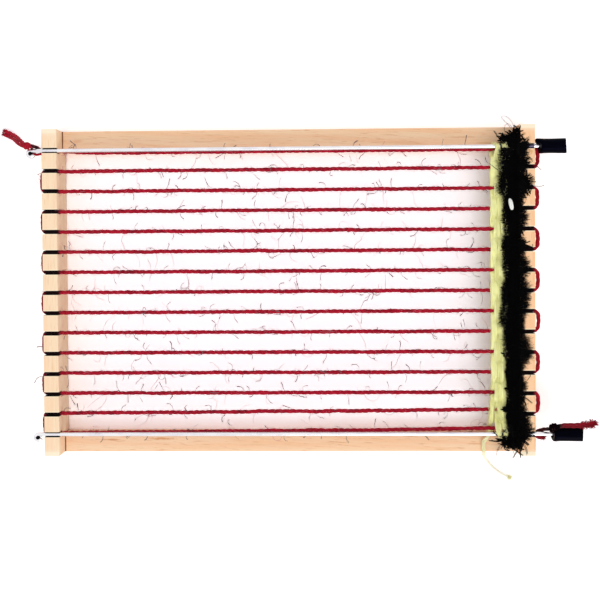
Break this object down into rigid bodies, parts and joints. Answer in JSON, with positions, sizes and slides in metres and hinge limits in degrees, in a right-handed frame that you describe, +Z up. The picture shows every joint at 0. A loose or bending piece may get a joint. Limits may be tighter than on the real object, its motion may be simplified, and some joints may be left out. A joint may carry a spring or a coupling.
{
  "type": "weaving loom",
  "caption": "Small flat frame loom of notched wooden bars and rails, strung with warp yarn, with steel edge rods, push-on caps and the first rows of woven cloth.",
  "frame": {"origin": "on the table under the middle of the loom's box, its loose yarn ends left out", "axes": "+X along the warp towards the started cloth and the capped rod ends, +Y across the warp to the back rail, +Z up out of the slots"},
  "size_m": [0.3733, 0.226, 0.0242],
  "materials": {
    "bar_wood": "sanded bare wood",
    "rail_wood": "sanded bare wood",
    "dowel_wood": "bare end grain",
    "rod_steel": "bright drawn wire",
    "black_cap": "soft vinyl, half gloss",
    "crimson_yarn": "two-ply wool yarn",
    "black_yarn": "brushed fluffy yarn",
    "yellow_yarn": "soft two-ply yarn"
  },
  "bodies": {
    "frame": {"left_notched_bar": "bar_wood", "right_notched_bar": "bar_wood", "back_rail": "rail_wood", "front_rail": "rail_wood", "back_left_dowel": "dowel_wood", "back_right_dowel": "dowel_wood", "front_left_dowel": "dowel_wood", "front_right_dowel": "dowel_wood", "warp_yarn": "crimson_yarn", "warp_start_tail": "crimson_yarn", "warp_end_tail": "crimson_yarn", "black_weft": "black_yarn", "yellow_weft": "yellow_yarn", "yellow_weft_tail": "yellow_yarn"},
    "back_rod": {"back_rod": "rod_steel"},
    "front_rod": {"front_rod": "rod_steel"},
    "back_cap": {"back_rod_cap": "black_cap"},
    "front_cap": {"front_rod_cap": "black_cap"}
  },
  "joints": [
    {"name": "back_rod_slide", "type": "slide", "parent": "frame", "child": "back_rod", "axis": [1, 0, 0], "range_m": [-0.33, 0]},
    {"name": "front_rod_slide", "type": "slide", "parent": "frame", "child": "front_rod", "axis": [1, 0, 0], "range_m": [-0.33, 0]},
    {"name": "back_cap_pull", "type": "slide", "parent": "frame", "child": "back_cap", "axis": [1, 0, 0], "range_m": [0, 0.03]},
    {"name": "front_cap_pull", "type": "slide", "parent": "frame", "child": "front_cap", "axis": [1, 0, 0], "range_m": [0, 0.03]}
  ]
}
